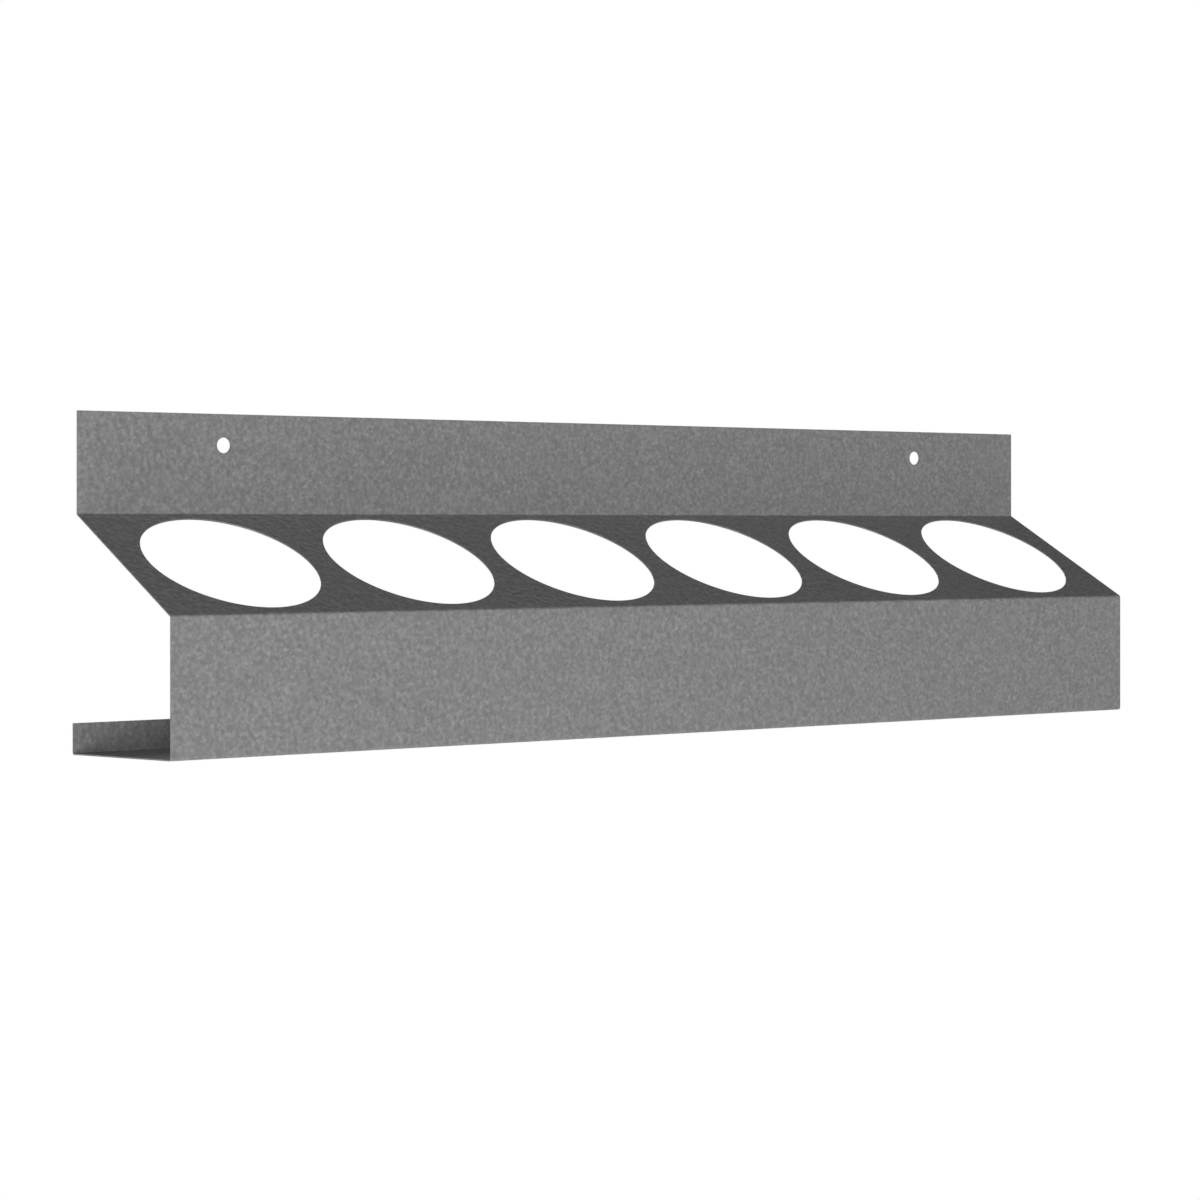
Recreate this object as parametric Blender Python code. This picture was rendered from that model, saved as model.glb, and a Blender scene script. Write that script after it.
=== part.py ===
"""A steel caddy for a wall, folded from one sheet, with round holes that hold a row of bottles.

Metres, +Z up. The origin is the middle of the back panel's rear face, which lies on the wall.
+X runs along the caddy, and its front faces -Y.
"""

import math

import bmesh
import bpy
from mathutils import Matrix, Vector

# The sheet
SHEET_THICKNESS = 0.0005
INSIDE_BEND_RADIUS = 0.0005
BEND_STEPS = 8

# The bottle holes, square to the slope
BOTTLE_HOLES = 6
BOTTLE_HOLE_DIAMETER = 0.060
BOTTLE_HOLE_SIDES = 72
WEB_BETWEEN_HOLES = 0.010
WEB_AT_ENDS = 0.010
WEB_ABOVE_HOLES = 0.0032
WEB_BELOW_HOLES = 0.0042

# The panels, each measured between the sharp corners of the side that faces out
BACK_HEIGHT = 0.0335
SLOPE_ANGLE = math.radians(28)
FRONT_HEIGHT = 0.0449
FLOOR_FALL = math.radians(1.5)
LIP_HEIGHT = 0.0103
LIP_BEHIND_BACK = 0.0027

# The screw holes in the back panel
SCREW_HOLE_DIAMETER = 0.0052
SCREW_HOLE_SIDES = 32
SCREW_HOLE_FROM_END = 0.055
SCREW_HOLE_FROM_TOP = 0.0105

# How far every cutter reaches past the sheet on each side
CUT_OVERRUN = 0.002

# Sizes that follow from those above
HOLE_PITCH = BOTTLE_HOLE_DIAMETER + WEB_BETWEEN_HOLES
LENGTH = BOTTLE_HOLES * HOLE_PITCH - WEB_BETWEEN_HOLES + 2 * WEB_AT_ENDS
SLOPE_WIDTH = WEB_ABOVE_HOLES + BOTTLE_HOLE_DIAMETER + WEB_BELOW_HOLES
DEPTH = SHEET_THICKNESS + SLOPE_WIDTH * math.cos(SLOPE_ANGLE)
FLOOR_WIDTH = (DEPTH + LIP_BEHIND_BACK) / math.cos(FLOOR_FALL)

# Which way each panel runs from its upper or front edge, as an angle from +Y towards +Z
DOWN = math.radians(-90)
FORWARD_AND_DOWN = math.radians(-180) + SLOPE_ANGLE
BACKWARD = -FLOOR_FALL
UP = math.radians(90)

# The panels in the order in which the sheet runs: back, slope, front, floor and lip
PANELS = (
    (DOWN, BACK_HEIGHT),
    (FORWARD_AND_DOWN, SLOPE_WIDTH),
    (DOWN, FRONT_HEIGHT),
    (BACKWARD, FLOOR_WIDTH),
    (UP, LIP_HEIGHT),
)
BACK_TOP = Vector((-SHEET_THICKNESS, BACK_HEIGHT / 2))


def clear_scene():
    for obj in list(bpy.data.objects):
        bpy.data.objects.remove(obj)


def direction(heading):
    """The unit vector of a heading, in the plane of Y and Z."""
    return Vector((math.cos(heading), math.sin(heading)))


def leftward(heading):
    """The unit vector to the left of a heading, which points into the sheet from its outer side."""
    return direction(heading + math.radians(90))


def sheet_corners():
    """The sharp corners of the sheet's outer side, from the back panel's top to the lip's top."""
    corners = [BACK_TOP]
    for heading, width in PANELS:
        corners.append(corners[-1] + direction(heading) * width)
    return corners


def bend(corner, heading, next_heading):
    """The arcs of one bend, as points on the outer side and on the inner side of the sheet."""
    turn = next_heading - heading
    side = math.copysign(1, turn)
    outer_radius = INSIDE_BEND_RADIUS + (SHEET_THICKNESS if turn > 0 else 0)
    inner_radius = outer_radius - side * SHEET_THICKNESS
    setback = outer_radius * math.tan(abs(turn) / 2)
    centre = corner - direction(heading) * setback + leftward(heading) * side * outer_radius
    outer, inner = [], []
    for step in range(BEND_STEPS + 1):
        away = -side * leftward(heading + turn * step / BEND_STEPS)
        outer.append(centre + away * outer_radius)
        inner.append(centre + away * inner_radius)
    return outer, inner


def sheet_section():
    """The closed outline of the folded sheet, seen along X: down its outer side and back along its inner."""
    corners = sheet_corners()
    headings = [heading for heading, _ in PANELS]
    outer = [corners[0]]
    inner = [corners[0] + leftward(headings[0]) * SHEET_THICKNESS]
    for corner, heading, next_heading in zip(corners[1:], headings, headings[1:]):
        outer_arc, inner_arc = bend(corner, heading, next_heading)
        outer += outer_arc
        inner += inner_arc
    outer.append(corners[-1])
    inner.append(corners[-1] + leftward(headings[-1]) * SHEET_THICKNESS)
    return outer + inner[::-1]


def new_object(name, mesh_builder):
    """An object named name, whose mesh is what mesh_builder leaves in a bmesh."""
    mesh = bpy.data.meshes.new(name)
    shape = bmesh.new()
    mesh_builder(shape)
    bmesh.ops.recalc_face_normals(shape, faces=shape.faces)
    shape.to_mesh(mesh)
    shape.free()
    obj = bpy.data.objects.new(name, mesh)
    bpy.context.scene.collection.objects.link(obj)
    return obj


def folded_strip(shape):
    """The section of the sheet, extruded along the length."""
    points = [shape.verts.new((-LENGTH / 2, y, z)) for y, z in sheet_section()]
    end = shape.faces.new(points)
    extruded = bmesh.ops.extrude_face_region(shape, geom=[end])["geom"]
    moved = [item for item in extruded if isinstance(item, bmesh.types.BMVert)]
    bmesh.ops.translate(shape, vec=(LENGTH, 0, 0), verts=moved)


def hole_cutter(name, diameter, sides, centre, tilt):
    """A cylinder through the sheet at centre, whose axis leans from +Z by tilt about X."""

    def cylinder(shape):
        bmesh.ops.create_cone(
            shape,
            cap_ends=True,
            segments=sides,
            radius1=diameter / 2,
            radius2=diameter / 2,
            depth=SHEET_THICKNESS + 2 * CUT_OVERRUN,
        )

    cutter = new_object(name, cylinder)
    cutter.matrix_world = Matrix.Translation(centre) @ Matrix.Rotation(tilt, 4, "X")
    cutter.hide_render = True
    cutter.display_type = "WIRE"
    return cutter


def bottle_hole_cutters():
    """One cutter for each bottle, in a row along the slope."""
    slope_top = sheet_corners()[1]
    down_slope = WEB_ABOVE_HOLES + BOTTLE_HOLE_DIAMETER / 2
    middle = slope_top + direction(FORWARD_AND_DOWN) * down_slope
    middle += leftward(FORWARD_AND_DOWN) * SHEET_THICKNESS / 2
    first_x = WEB_AT_ENDS + BOTTLE_HOLE_DIAMETER / 2 - LENGTH / 2
    return [
        hole_cutter(
            f"bottle_hole_{number + 1}",
            BOTTLE_HOLE_DIAMETER,
            BOTTLE_HOLE_SIDES,
            (first_x + number * HOLE_PITCH, middle.x, middle.y),
            SLOPE_ANGLE,
        )
        for number in range(BOTTLE_HOLES)
    ]


def screw_hole_cutters():
    """The two cutters for the wall screws, level with each other in the back panel."""
    from_middle = LENGTH / 2 - SCREW_HOLE_FROM_END
    height = BACK_TOP.y - SCREW_HOLE_FROM_TOP
    return [
        hole_cutter(
            f"screw_hole_{place}",
            SCREW_HOLE_DIAMETER,
            SCREW_HOLE_SIDES,
            (x, -SHEET_THICKNESS / 2, height),
            math.radians(90),
        )
        for place, x in (("left", -from_middle), ("right", from_middle))
    ]


def galvanised_steel():
    """Mid-grey zinc, dull and a little rough."""
    material = bpy.data.materials.new("galvanised_steel")
    material.use_nodes = True
    shader = material.node_tree.nodes["Principled BSDF"]
    shader.inputs["Base Color"].default_value = (0.22, 0.22, 0.22, 1)
    shader.inputs["Metallic"].default_value = 0.6
    shader.inputs["Roughness"].default_value = 0.55
    return material


def folded_sheet():
    """The whole caddy: the folded strip with its holes cut."""
    sheet = new_object("folded_sheet", folded_strip)
    for cutter in bottle_hole_cutters() + screw_hole_cutters():
        hole = sheet.modifiers.new(cutter.name, "BOOLEAN")
        hole.operation = "DIFFERENCE"
        hole.solver = "EXACT"
        hole.object = cutter
    sheet.data.materials.append(galvanised_steel())
    sheet.data.shade_smooth()
    sheet.data.set_sharp_from_angle(angle=math.radians(30))
    return sheet


clear_scene()
folded_sheet()
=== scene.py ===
# %% [markdown]
# A steel caddy that hangs on a wall and holds a row of bottles. The real one is a single blank of
# galvanised sheet, half a millimetre thick: six round holes and two screw holes are punched in it,
# and a press folds it four times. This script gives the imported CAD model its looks. It starts with
# the model itself, which is the fixed frame that everything here is fitted to. Blender counts in
# metres, so a size in millimetres is multiplied by MM.

# %% Load the frame
import math

import bmesh
import bpy
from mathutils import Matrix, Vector


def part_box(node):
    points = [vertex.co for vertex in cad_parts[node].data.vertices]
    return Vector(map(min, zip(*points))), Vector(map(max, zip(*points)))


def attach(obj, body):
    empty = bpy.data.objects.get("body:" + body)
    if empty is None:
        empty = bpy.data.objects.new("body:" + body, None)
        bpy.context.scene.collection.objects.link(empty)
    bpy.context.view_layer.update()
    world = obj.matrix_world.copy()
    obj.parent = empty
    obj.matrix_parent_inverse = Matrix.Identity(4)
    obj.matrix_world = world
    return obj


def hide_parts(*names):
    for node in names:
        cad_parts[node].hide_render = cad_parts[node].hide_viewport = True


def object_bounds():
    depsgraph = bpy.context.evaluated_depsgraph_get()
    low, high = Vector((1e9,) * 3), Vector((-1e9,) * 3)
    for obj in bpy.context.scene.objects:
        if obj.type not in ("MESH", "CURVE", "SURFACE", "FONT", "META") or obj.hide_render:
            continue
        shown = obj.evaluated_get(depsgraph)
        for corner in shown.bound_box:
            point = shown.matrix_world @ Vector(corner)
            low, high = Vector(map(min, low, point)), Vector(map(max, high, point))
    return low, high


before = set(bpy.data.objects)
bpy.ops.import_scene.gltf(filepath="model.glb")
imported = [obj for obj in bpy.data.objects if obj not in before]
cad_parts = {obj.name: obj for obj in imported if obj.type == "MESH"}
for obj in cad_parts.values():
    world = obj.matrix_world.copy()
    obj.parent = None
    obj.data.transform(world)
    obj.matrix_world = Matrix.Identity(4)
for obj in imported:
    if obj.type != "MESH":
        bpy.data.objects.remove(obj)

CAD_LOW, CAD_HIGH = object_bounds()
MM = 0.001
bpy.context.scene.view_settings.view_transform = "Standard"
print("CAD nodes:", ", ".join(sorted(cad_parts)))
print("CAD box in mm:", [round(side / MM, 1) for side in CAD_HIGH - CAD_LOW])

# %% [markdown]
# The sizes of the sheet. Its length and the places of its faces are read from the frame, and the
# rest are the sizes that a sheet metal shop would write on its drawing. Angles and widths are
# measured between the sharp corners that the folds would have without their radius.
# Taking the outline from the frame keeps the new piece exactly where the CAD solid is.

# %% The sheet's sizes
SHEET_THICKNESS = 0.5 * MM
INSIDE_BEND_RADIUS = 0.5 * MM
BACK_HEIGHT = 33.5 * MM
SLOPE_ANGLE = math.radians(28)
FRONT_HEIGHT = 44.9 * MM
FLOOR_FALL = math.radians(1.5)
LIP_HEIGHT = 10.3 * MM

sheet_low, sheet_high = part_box("folded_sheet")
LENGTH = sheet_high.x - sheet_low.x
MIDDLE_X = (sheet_high.x + sheet_low.x) / 2
FRONT_Y = sheet_low.y
LIP_Y = sheet_high.y
BACK_Y = -SHEET_THICKNESS
TOP_Z = sheet_high.z


def fold_corners():
    """The sheet's sharp corners in the plane of Y and Z, on its outer side, from top to lip."""
    slope_top = TOP_Z - BACK_HEIGHT
    front_top = slope_top - (BACK_Y - FRONT_Y) * math.tan(SLOPE_ANGLE)
    front_foot = front_top - FRONT_HEIGHT
    lip_foot = front_foot - (LIP_Y - FRONT_Y) * math.tan(FLOOR_FALL)
    return [
        Vector((BACK_Y, TOP_Z)),
        Vector((BACK_Y, slope_top)),
        Vector((FRONT_Y, front_top)),
        Vector((FRONT_Y, front_foot)),
        Vector((LIP_Y, lip_foot)),
        Vector((LIP_Y, lip_foot + LIP_HEIGHT)),
    ]


CORNERS = fold_corners()
print("Corners from top to lip in mm:", [[round(c / MM, 2) for c in corner] for corner in CORNERS])

# %% [markdown]
# The camera stands where the photographer's did: to the left of the caddy, level with its slope,
# and far enough away for a long lens. It could be tilted to bring the caddy into the picture, but
# it looks level, so that upright edges stay upright, and its picture is shifted a little instead.
# A new camera looks straight down, so a quarter turn makes it level. Lens and sensor are in
# millimetres, as on a real camera, and the nearest and farthest things that it sees in metres.

# %% Camera
QUARTER_TURN = math.radians(90)
CAMERA_PLACE = Vector((-695.5, -883.8, -20.3)) * MM
CAMERA_TURN = math.radians(-38.226)
CAMERA_LENS = 91.93
SENSOR_WIDTH = 36
CAMERA_SHIFT = -0.0627
NEAREST_SEEN = 0.01
FARTHEST_SEEN = 50

camera_data = bpy.data.cameras.new("camera")
camera_data.lens = CAMERA_LENS
camera_data.sensor_width = SENSOR_WIDTH
camera_data.shift_y = CAMERA_SHIFT
camera_data.clip_start = NEAREST_SEEN
camera_data.clip_end = FARTHEST_SEEN
camera = bpy.data.objects.new("camera", camera_data)
camera.location = CAMERA_PLACE
camera.rotation_euler = (QUARTER_TURN, 0, CAMERA_TURN)
bpy.context.scene.collection.objects.link(camera)
bpy.context.scene.camera = camera
print("Camera distance in mm:", round(CAMERA_PLACE.length / MM))

# %% [markdown]
# The studio is white all round, but white light from every side would leave the folds without
# shading. So the world and the floor look white to the rays that show a background, and give the
# caddy only as much light as it needs. Two small helpers come first. One adds a node at its place
# on a grid, so that the nodes can be read from left to right in Blender's editor. The other tells
# the rays that show a background from those that carry light to the caddy.

# %% Helpers for the studio
WHITE = (1, 1, 1, 1)
NODE_GRID_STEP = 200


def add_node(tree, kind, place, **settings):
    """A node of that kind at a place on the node grid, with its settings."""
    node = tree.nodes.new(kind)
    node.location = (place[0] * NODE_GRID_STEP, -place[1] * NODE_GRID_STEP)
    for name, value in settings.items():
        setattr(node, name, value)
    return node


def shows_background(tree, place):
    """1 for the rays that show the background: camera, glossy and transmission rays."""
    path = add_node(tree, "ShaderNodeLightPath", place)
    two_kinds = add_node(tree, "ShaderNodeMath", (place[0] + 1, place[1]), operation="MAXIMUM")
    all_kinds = add_node(tree, "ShaderNodeMath", (place[0] + 2, place[1]), operation="MAXIMUM")
    tree.links.new(path.outputs["Is Camera Ray"], two_kinds.inputs[0])
    tree.links.new(path.outputs["Is Glossy Ray"], two_kinds.inputs[1])
    tree.links.new(two_kinds.outputs[0], all_kinds.inputs[0])
    tree.links.new(path.outputs["Is Transmission Ray"], all_kinds.inputs[1])
    return all_kinds.outputs[0]


print("Helpers made: add_node and shows_background")

# %% [markdown]
# The world is the soft light that comes from all sides at once. It could be a sky or a picture of
# a room, but plain white has no colour or pattern that the dull metal would pick up. A Map Range
# node gives full strength to the rays that show the background, and the low one to all others.

# %% World
AMBIENT_LIGHT = 0.25

world = bpy.data.worlds.new("studio")
world.use_nodes = True
bpy.context.scene.world = world
background = world.node_tree.nodes["Background"]
background.inputs["Color"].default_value = WHITE
strength = add_node(world.node_tree, "ShaderNodeMapRange", (-1, 1))
strength.inputs["To Min"].default_value = AMBIENT_LIGHT
world.node_tree.links.new(shows_background(world.node_tree, (-5, 1)), strength.inputs["Value"])
world.node_tree.links.new(strength.outputs["Result"], background.inputs["Strength"])
print("World: white behind the object, and a light of", AMBIENT_LIGHT, "on it")

# %% [markdown]
# The floor is plain and pale, and lies well below the caddy, because a wall rack hangs high. Lamps
# alone would leave it grey, so its paint also glows for the rays that show the background. The
# dark ceiling is what makes the slope darker than the upright panels, as in the photo: a panel that
# faces up gets less light than one that faces the room. The camera doesn't see the ceiling, so the
# background stays white from below too. Both are part of the studio and not of the caddy.

# %% Floor and ceiling
FLOOR_BELOW = 0.9
FLOOR_RADIUS = 2.2
CEILING_ABOVE = 1.5
CEILING_RADIUS = 5
DISC_SIDES = 96


def grey(value):
    """A neutral colour."""
    return (value, value, value, 1)


def studio_disc(name, radius, height, material):
    """A round flat surface at that height, which is no part of the object."""
    bpy.ops.mesh.primitive_circle_add(
        vertices=DISC_SIDES, radius=radius, fill_type="NGON", location=(0, 0, height)
    )
    disc = bpy.context.object
    disc.name = name
    disc.data.materials.append(material)
    return disc


def studio_paint(name, tone, glow):
    """Dull paint of that tone, which glows for the rays that show the background."""
    paint = bpy.data.materials.new(name)
    paint.use_nodes = True
    tree = paint.node_tree
    shader = tree.nodes["Principled BSDF"]
    shader.inputs["Base Color"].default_value = grey(tone)
    shader.inputs["Roughness"].default_value = 0.9
    shader.inputs["Specular IOR Level"].default_value = 0
    shader.inputs["Emission Color"].default_value = WHITE
    lift = add_node(tree, "ShaderNodeMath", (-1, 1), operation="MULTIPLY")
    tree.links.new(shows_background(tree, (-5, 1)), lift.inputs[0])
    lift.inputs[1].default_value = glow
    tree.links.new(lift.outputs[0], shader.inputs["Emission Strength"])
    return paint


studio_disc("floor", FLOOR_RADIUS, -FLOOR_BELOW, studio_paint("pale_floor", tone=0.8, glow=0.87))
dark_paint = studio_paint("dark_ceiling", tone=0.05, glow=0)
ceiling = studio_disc("ceiling", CEILING_RADIUS, CEILING_ABOVE, dark_paint)
ceiling.visible_camera = False
print("Studio from floor to ceiling in m:", FLOOR_BELOW + CEILING_ABOVE)

# %% [markdown]
# Six soft boxes light the caddy. The key stands in front and to the left, level with the caddy,
# so that it shines into the open end and reaches the lip. A weak one above the front lifts the
# slope, and a weak one close below lifts the front panel, while the slope keeps its light off the
# back panel. One on the right opens up that end. Two stand behind: a low one lights the rear
# faces, while the lip keeps its light off the tray's floor, and a weak one high up gives that
# floor its even, nearly dark tone. A single large lamp would be simpler, but it would light the
# panels either too evenly or not at all. The camera sees none of the six.

# %% Lamps
CADDY_MIDDLE = (CAD_LOW + CAD_HIGH) / 2


def soft_box(name, place, size, power):
    """A square lamp, with place and size in metres, turned towards the middle of the caddy."""
    data = bpy.data.lights.new(name, "AREA")
    data.shape = "SQUARE"
    data.size = size
    data.energy = power
    lamp = bpy.data.objects.new(name, data)
    lamp.location = place
    lamp.rotation_euler = (CADDY_MIDDLE - lamp.location).to_track_quat("-Z", "Y").to_euler()
    lamp.visible_camera = False
    bpy.context.scene.collection.objects.link(lamp)
    print(name, "at", [round(c, 2) for c in place], "with", power, "W")


soft_box("key_left", place=(-1.5, -1.8, -0.2), size=1.2, power=40)
soft_box("high_front", place=(0.3, -1.2, 1.2), size=1.0, power=4)
soft_box("low_front", place=(-0.2, -0.75, -0.8), size=0.6, power=2.2)
soft_box("side_right", place=(2.4, -1.2, 0.5), size=1.0, power=3)
soft_box("low_rear", place=(0.5, 1.6, -0.37), size=1.0, power=24)
soft_box("high_rear", place=(0, 1.2, 1.1), size=1.0, power=1.6)

# %% [markdown]
# Zinc from a hot dip line sets in small crystals, so close up the sheet is mottled: soft blotches
# about a millimetre across, some a little lighter and some darker, with no colour of their own.
# It could be painted as a picture, but a pattern in the material's own nodes has no seams and
# stays sharp. Coat and cut edges both use the pattern, so it is a node group, built once. First
# come its sockets, which are what a material hands in and gets back, and a turn of the pattern's
# grid, so that no panel lies along it and all are mottled alike.

# %% Zinc mottle: a node group and its sockets
GRID_TURN = (0.6, 0.4, 0.5)

mottle_group = bpy.data.node_groups.new("zinc_mottle", "ShaderNodeTree")
for direction, label, kind in (
    ("INPUT", "Vector", "NodeSocketVector"),
    ("INPUT", "Blotches per Metre", "NodeSocketFloat"),
    ("OUTPUT", "Tone", "NodeSocketFloat"),
    ("OUTPUT", "Height", "NodeSocketFloat"),
):
    mottle_group.interface.new_socket(label, in_out=direction, socket_type=kind)
handed_in = add_node(mottle_group, "NodeGroupInput", (-7, 0))
given_back = add_node(mottle_group, "NodeGroupOutput", (2, 0))
turned = add_node(mottle_group, "ShaderNodeMapping", (-6, 0))
turned.inputs["Rotation"].default_value = GRID_TURN
mottle_group.links.new(handed_in.outputs["Vector"], turned.inputs["Vector"])
print("Sockets of the mottle:", [socket.name for socket in mottle_group.interface.items_tree])

# %% [markdown]
# The mottle's tone runs from 0, dark, to 1, light. A cloudy noise gives the soft blotches, and a
# share of crystals with blurred borders gives them their grain. The mix is stretched to the whole
# range, and a power above 1 makes light specks rarer than dark ones. Either pattern alone looks
# wrong: noise is too smoky, and crystals look like paving.

# %% Zinc mottle: its tone
CLOUD_DETAIL = 2
CLOUD_ROUGHNESS = 0.6
CRYSTAL_BLUR = 0.6
CRYSTAL_SHARE = 0.3
DARKEST_MIX = 0.25
LIGHTEST_MIX = 0.75
SPECK_POWER = 1.5

cloud = add_node(mottle_group, "ShaderNodeTexNoise", (-4, 0))
cloud.inputs["Detail"].default_value = CLOUD_DETAIL
cloud.inputs["Roughness"].default_value = CLOUD_ROUGHNESS
crystals = add_node(mottle_group, "ShaderNodeTexVoronoi", (-4, 1), feature="SMOOTH_F1")
crystals.inputs["Smoothness"].default_value = CRYSTAL_BLUR
for pattern in (cloud, crystals):
    mottle_group.links.new(turned.outputs["Vector"], pattern.inputs["Vector"])
    mottle_group.links.new(handed_in.outputs["Blotches per Metre"], pattern.inputs["Scale"])
shade = add_node(mottle_group, "ShaderNodeSeparateColor", (-3, 1))
mottle_group.links.new(crystals.outputs["Color"], shade.inputs["Color"])
mixed = add_node(mottle_group, "ShaderNodeMix", (-2, 0))
mixed.inputs["Factor"].default_value = CRYSTAL_SHARE
mottle_group.links.new(cloud.outputs["Fac"], mixed.inputs["A"])
mottle_group.links.new(shade.outputs["Red"], mixed.inputs["B"])
stretch = add_node(mottle_group, "ShaderNodeMapRange", (-1, 0))
stretch.inputs["From Min"].default_value = DARKEST_MIX
stretch.inputs["From Max"].default_value = LIGHTEST_MIX
mottle_group.links.new(mixed.outputs["Result"], stretch.inputs["Value"])
specks = add_node(mottle_group, "ShaderNodeMath", (0, 0), operation="POWER")
specks.inputs[1].default_value = SPECK_POWER
mottle_group.links.new(stretch.outputs["Result"], specks.inputs[0])
mottle_group.links.new(specks.outputs[0], given_back.inputs["Tone"])
print("Share of crystals in the mottle:", CRYSTAL_SHARE)

# %% [markdown]
# The coat isn't quite level either. Its low waves, twice as wide as the blotches, hardly show on
# the upright panels, but where light grazes the slope they turn into short slanting streaks. They
# could be modelled, but that would take far more faces than all the rest, so the group gives them
# back as a height, and the material's bump shows them.

# %% Zinc mottle: its height
WAVES_PER_BLOTCH = 0.5

wider = add_node(mottle_group, "ShaderNodeMath", (-5, 2), operation="MULTIPLY")
wider.inputs[1].default_value = WAVES_PER_BLOTCH
mottle_group.links.new(handed_in.outputs["Blotches per Metre"], wider.inputs[0])
waves = add_node(mottle_group, "ShaderNodeTexNoise", (-4, 2))
waves.inputs["Detail"].default_value = 0
mottle_group.links.new(turned.outputs["Vector"], waves.inputs["Vector"])
mottle_group.links.new(wider.outputs[0], waves.inputs["Scale"])
mottle_group.links.new(waves.outputs["Fac"], given_back.inputs["Height"])
print("Node group", mottle_group.name, "with", len(mottle_group.nodes), "nodes")

# %% [markdown]
# Two finishes share that pattern. The coat is matt grey zinc. The cut edges, on the rim of the
# sheet and on the walls of the holes, are sheared steel with a little zinc dragged over it, and
# their marks are finer. In both a lighter blotch is also a smoother one, because that is how a
# fresh crystal looks beside a dull one. One finish for both would be simpler, but then the edges
# wouldn't stand out from the panels as they do on a real sheet.

# %% Finishes
ZINC_SPECULAR = 0.2


def zinc_finish(name, dark, light, smooth, rough, metallic, blotches, relief):
    """A material whose colour and roughness run between two values with the mottle."""
    material = bpy.data.materials.new(name)
    material.use_nodes = True
    tree = material.node_tree
    shader = tree.nodes["Principled BSDF"]
    shader.inputs["Metallic"].default_value = metallic
    shader.inputs["Specular IOR Level"].default_value = ZINC_SPECULAR
    place = add_node(tree, "ShaderNodeTexCoord", (-6, 0))
    mottle = add_node(tree, "ShaderNodeGroup", (-5, 0), node_tree=mottle_group)
    mottle.inputs["Blotches per Metre"].default_value = blotches
    tree.links.new(place.outputs["Object"], mottle.inputs["Vector"])
    colour = add_node(tree, "ShaderNodeMix", (-3, 0), data_type="RGBA")
    colour.inputs["A"].default_value = grey(dark)
    colour.inputs["B"].default_value = grey(light)
    tree.links.new(mottle.outputs["Tone"], colour.inputs["Factor"])
    tree.links.new(colour.outputs["Result"], shader.inputs["Base Color"])
    gloss = add_node(tree, "ShaderNodeMapRange", (-3, 1))
    gloss.inputs["To Min"].default_value = rough
    gloss.inputs["To Max"].default_value = smooth
    tree.links.new(mottle.outputs["Tone"], gloss.inputs["Value"])
    tree.links.new(gloss.outputs["Result"], shader.inputs["Roughness"])
    bump = add_node(tree, "ShaderNodeBump", (-2, 2))
    bump.inputs["Distance"].default_value = relief
    bump.inputs["Strength"].default_value = 1
    tree.links.new(mottle.outputs["Height"], bump.inputs["Height"])
    tree.links.new(bump.outputs["Normal"], shader.inputs["Normal"])
    return material


COAT = zinc_finish(
    "zinc_coat",
    dark=0.187,
    light=0.295,
    smooth=0.5,
    rough=0.65,
    metallic=0.3,
    blotches=900,
    relief=0.35 * MM,
)
CUT_EDGE = zinc_finish(
    "cut_edge",
    dark=0.2,
    light=0.3,
    smooth=0.4,
    rough=0.55,
    metallic=0.4,
    blotches=3000,
    relief=0.05 * MM,
)
print("Finishes:", COAT.name, "and", CUT_EDGE.name)

# %% [markdown]
# The sheet is made the way the press makes it. A flat plane is the back panel, and its lower edge
# is drawn out four times, once for each panel below it. An outline extruded sideways would give
# the same shape, but this way follows the sheet from fold to fold.

# %% Back panel and the four panels below it
SAME_PLACE = 0.01 * MM


def select_edges(piece, wanted):
    """In edit mode, selects the edges whose ends are both wanted, and counts them."""
    bpy.ops.mesh.select_mode(type="EDGE")
    bpy.ops.mesh.select_all(action="DESELECT")
    shape = bmesh.from_edit_mesh(piece.data)
    for edge in shape.edges:
        edge.select_set(all(wanted(end.co) for end in edge.verts))
    bmesh.update_edit_mesh(piece.data)
    return sum(edge.select for edge in shape.edges)


def near(corner):
    """A test for points that lie on the corner's line along the sheet."""
    return lambda point: (Vector((point.y, point.z)) - corner).length < SAME_PLACE


back_middle = (MIDDLE_X, BACK_Y, TOP_Z - BACK_HEIGHT / 2)
bpy.ops.object.select_all(action="DESELECT")
bpy.ops.mesh.primitive_plane_add(size=LENGTH, location=back_middle, rotation=(QUARTER_TURN, 0, 0))
sheet = bpy.context.object
sheet.name = sheet.data.name = "galvanised_sheet"
bpy.ops.transform.resize(value=(1, 1, BACK_HEIGHT / LENGTH))
bpy.ops.object.transform_apply(location=True, rotation=True, scale=True)
bpy.ops.object.mode_set(mode="EDIT")
select_edges(sheet, near(CORNERS[1]))
for start, end in zip(CORNERS[1:], CORNERS[2:]):
    step = end - start
    bpy.ops.mesh.extrude_region_move(TRANSFORM_OT_translate={"value": (0, step.x, step.y)})
print("Panels:", len(bmesh.from_edit_mesh(sheet.data).faces))

# %% [markdown]
# A fold is never sharp: the sheet bends round the press's nose with an inside radius of half a
# millimetre, and on the outside the sheet's thickness comes on top. The arcs could be drawn out
# with the panels, but a bevel of each fold's edge leaves the panels where they are. The plane is
# the side that faces out of the tray. It is the inside of the first bend, below the back panel,
# and the outside of the other three, where the section turns the other way.

# %% The four bends
BEND_STEPS = 10


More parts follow.
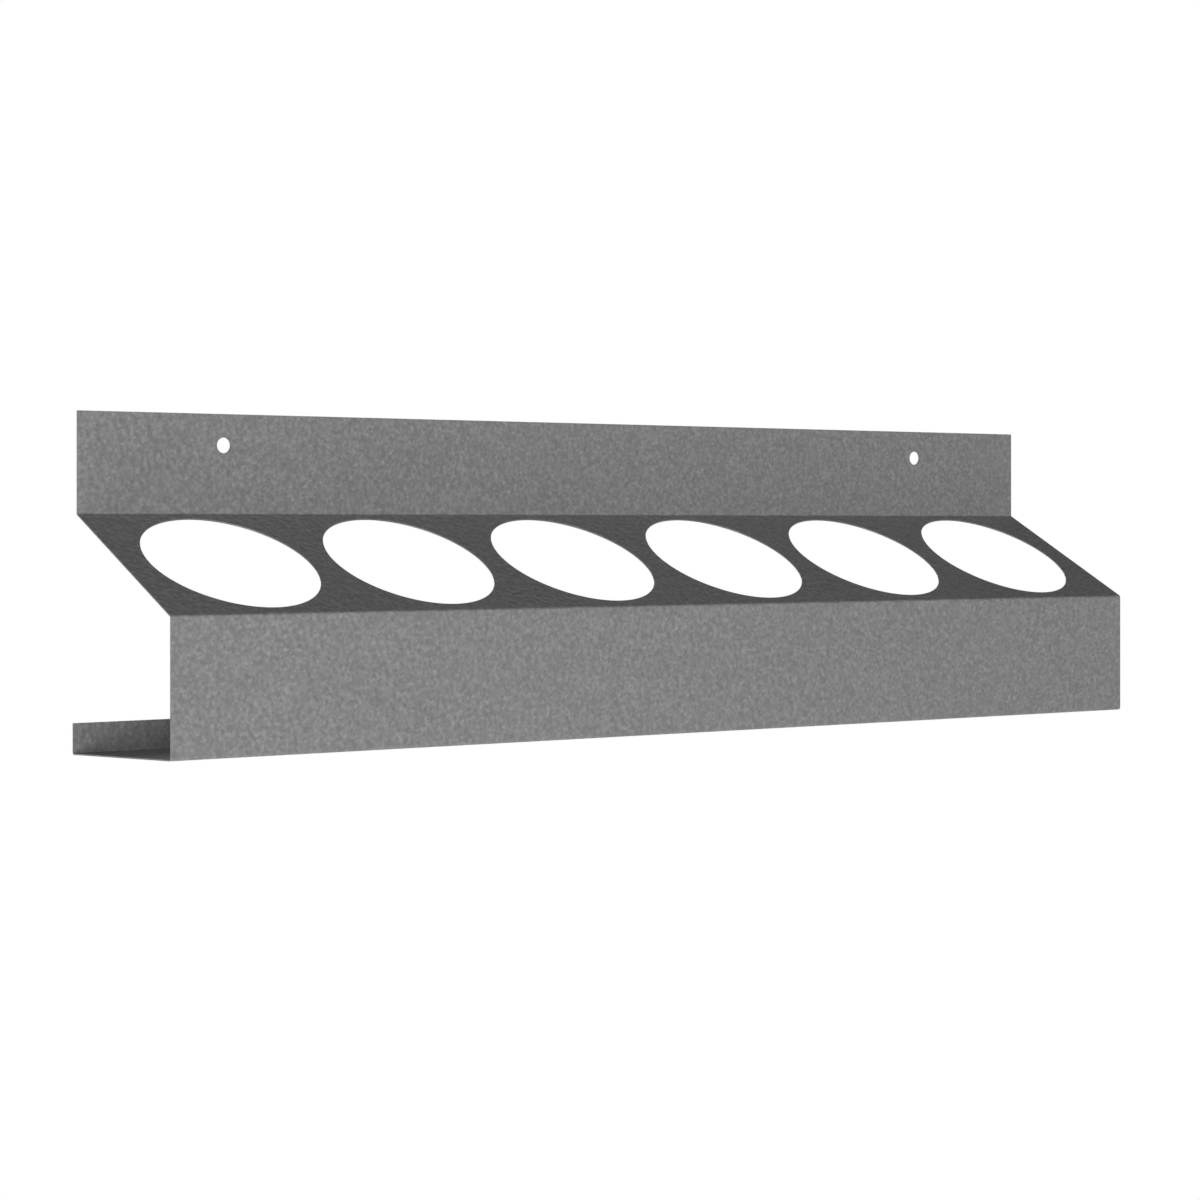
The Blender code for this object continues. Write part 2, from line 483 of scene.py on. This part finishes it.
def bend(piece, before, corner, after):
    """Rounds the fold at corner, whose panels come from before and go on to after."""
    arriving = corner - before
    leaving = after - corner
    turn = arriving.angle(leaving)
    plane_is_outside = arriving.x * leaving.y - arriving.y * leaving.x > 0
    radius = INSIDE_BEND_RADIUS + (SHEET_THICKNESS if plane_is_outside else 0)
    select_edges(piece, near(corner))
    bpy.ops.mesh.bevel(
        offset_type="OFFSET",
        offset=radius * math.tan(turn / 2),
        segments=BEND_STEPS,
        profile=0.5,
        affect="EDGES",
    )
    print("Bend of", round(math.degrees(turn), 1), "degrees, radius in mm", round(radius / MM, 2))


for before, corner, after in zip(CORNERS, CORNERS[1:], CORNERS[2:]):
    bend(sheet, before, corner, after)
bpy.ops.mesh.select_all(action="SELECT")
bpy.ops.mesh.normals_make_consistent(inside=False)
bpy.ops.object.mode_set(mode="OBJECT")
front = min(sheet.data.polygons, key=lambda face: face.center.y)
print("Front panel faces", [round(c, 2) for c in front.normal])

# %% [markdown]
# The plane becomes a sheet by growing half a millimetre inwards, evenly round the bends too. The
# second side could be modelled like the first, but a Solidify modifier keeps the two parallel.
# The rim that this makes is the cut edge of the blank, so it gets that finish.

# %% Thickness
GROW_INWARDS = -1


def only(piece):
    """Leaves that piece as the one selected and active object."""
    bpy.ops.object.select_all(action="DESELECT")
    piece.select_set(True)
    bpy.context.view_layer.objects.active = piece


sheet.data.materials.append(COAT)
sheet.data.materials.append(CUT_EDGE)
only(sheet)
growth = sheet.modifiers.new("thickness", "SOLIDIFY")
growth.thickness = SHEET_THICKNESS
growth.offset = GROW_INWARDS
growth.use_even_offset = True
growth.material_offset_rim = 1
bpy.ops.object.modifier_apply(modifier=growth.name)
depths = [point.co.y for point in sheet.data.vertices]
print("Sheet from y", round(min(depths) / MM, 3), "to", round(max(depths) / MM, 3), "mm")

# %% [markdown]
# The holes are punched square to their panel. The shop punches the flat blank before it is folded,
# but here the cuts come last, because plain panels are easier to fold and to thicken. Each punch
# is a round bar with many sides, so that the rims look round close up, and a Boolean takes it out
# of the sheet. The walls of the hole take the punch's own material, the finish of the cut edge.

# %% Punched holes
BOTTLE_HOLES = 6
BOTTLE_HOLE_DIAMETER = 60 * MM
BOTTLE_HOLE_SIDES = 144
HOLE_PITCH = 70 * MM
WEB_ABOVE_HOLES = 3.2 * MM
SCREW_HOLE_DIAMETER = 5.2 * MM
SCREW_HOLE_SIDES = 64
SCREW_HOLE_FROM_END = 55 * MM
SCREW_HOLE_FROM_TOP = 10.5 * MM
PUNCH_LENGTH = 6 * MM


def punch(piece, diameter, sides, place, tilt):
    """Cuts a round hole at a place, along an axis that leans from upright by tilt about X."""
    bpy.ops.object.select_all(action="DESELECT")
    bpy.ops.mesh.primitive_cylinder_add(
        vertices=sides,
        radius=diameter / 2,
        depth=PUNCH_LENGTH,
        location=place,
        rotation=(tilt, 0, 0),
    )
    tool = bpy.context.object
    tool.data.materials.append(CUT_EDGE)
    only(piece)
    cut = piece.modifiers.new("punch", "BOOLEAN")
    cut.operation = "DIFFERENCE"
    cut.solver = "EXACT"
    cut.material_mode = "TRANSFER"
    cut.object = tool
    bpy.ops.object.modifier_apply(modifier=cut.name)
    bpy.data.objects.remove(tool)


down_slope = (CORNERS[2] - CORNERS[1]).normalized()
hole_row = CORNERS[1] + down_slope * (WEB_ABOVE_HOLES + BOTTLE_HOLE_DIAMETER / 2)
hole_places = [
    Vector((MIDDLE_X + (number - (BOTTLE_HOLES - 1) / 2) * HOLE_PITCH, hole_row.x, hole_row.y))
    for number in range(BOTTLE_HOLES)
]
for place in hole_places:
    punch(sheet, BOTTLE_HOLE_DIAMETER, BOTTLE_HOLE_SIDES, place, tilt=SLOPE_ANGLE)
for side in (-1, 1):
    from_middle = side * (LENGTH / 2 - SCREW_HOLE_FROM_END)
    place = (MIDDLE_X + from_middle, BACK_Y / 2, TOP_Z - SCREW_HOLE_FROM_TOP)
    punch(sheet, SCREW_HOLE_DIAMETER, SCREW_HOLE_SIDES, place, tilt=QUARTER_TURN)
print("Faces after punching:", len(sheet.data.polygons))

# %% [markdown]
# A punch pulls the sheet's surface down with it before it cuts, so the upper rim of each bottle
# hole is rolled over a little. All other edges are only broken, as by a wire brush. Without this
# every edge would be sharper than any real one and would catch no light. A Bevel modifier could
# round them all at once, but the two radii differ, so the edges are selected and bevelled in turn.
# At the end the panels are shaded flat and the bends smooth.

# %% Edges
ROLL_OVER = 0.14 * MM
ROLL_OVER_STEPS = 4
EDGE_BREAK = 0.05 * MM
EDGE_BREAK_STEPS = 3
NEAR_RIM = 0.05 * MM
SHARP_FROM = math.radians(50)
SMOOTH_BELOW = math.radians(35)


def on_upper_rim(point):
    """Whether a point lies on the upper rim of a bottle hole."""
    normal = Vector((0, -math.sin(SLOPE_ANGLE), math.cos(SLOPE_ANGLE)))
    for middle in hole_places:
        away = point - middle
        height = away.dot(normal)
        radius = (away - normal * height).length
        if abs(height) < NEAR_RIM and abs(radius - BOTTLE_HOLE_DIAMETER / 2) < NEAR_RIM:
            return True
    return False


only(sheet)
bpy.ops.object.mode_set(mode="EDIT")
rim_edges = select_edges(sheet, on_upper_rim)
bpy.ops.mesh.bevel(offset=ROLL_OVER, segments=ROLL_OVER_STEPS, profile=0.5, affect="EDGES")
print("Rolled rim edges:", rim_edges)
bpy.ops.mesh.select_all(action="DESELECT")
bpy.ops.mesh.edges_select_sharp(sharpness=SHARP_FROM)
bpy.ops.mesh.bevel(offset=EDGE_BREAK, segments=EDGE_BREAK_STEPS, profile=0.5, affect="EDGES")
bpy.ops.object.mode_set(mode="OBJECT")
bpy.ops.object.shade_smooth_by_angle(angle=SMOOTH_BELOW)
flat = sheet.modifiers.new("flat_panels", "WEIGHTED_NORMAL")
flat.mode = "FACE_AREA"
flat.keep_sharp = True
bpy.ops.object.modifier_apply(modifier=flat.name)
print("Faces when finished:", len(sheet.data.polygons))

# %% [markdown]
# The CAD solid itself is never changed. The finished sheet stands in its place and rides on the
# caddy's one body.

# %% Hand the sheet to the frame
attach(sheet, "root")
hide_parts("folded_sheet")
print("Sheet's sides in mm:", [round(side / MM, 2) for side in sheet.dimensions])
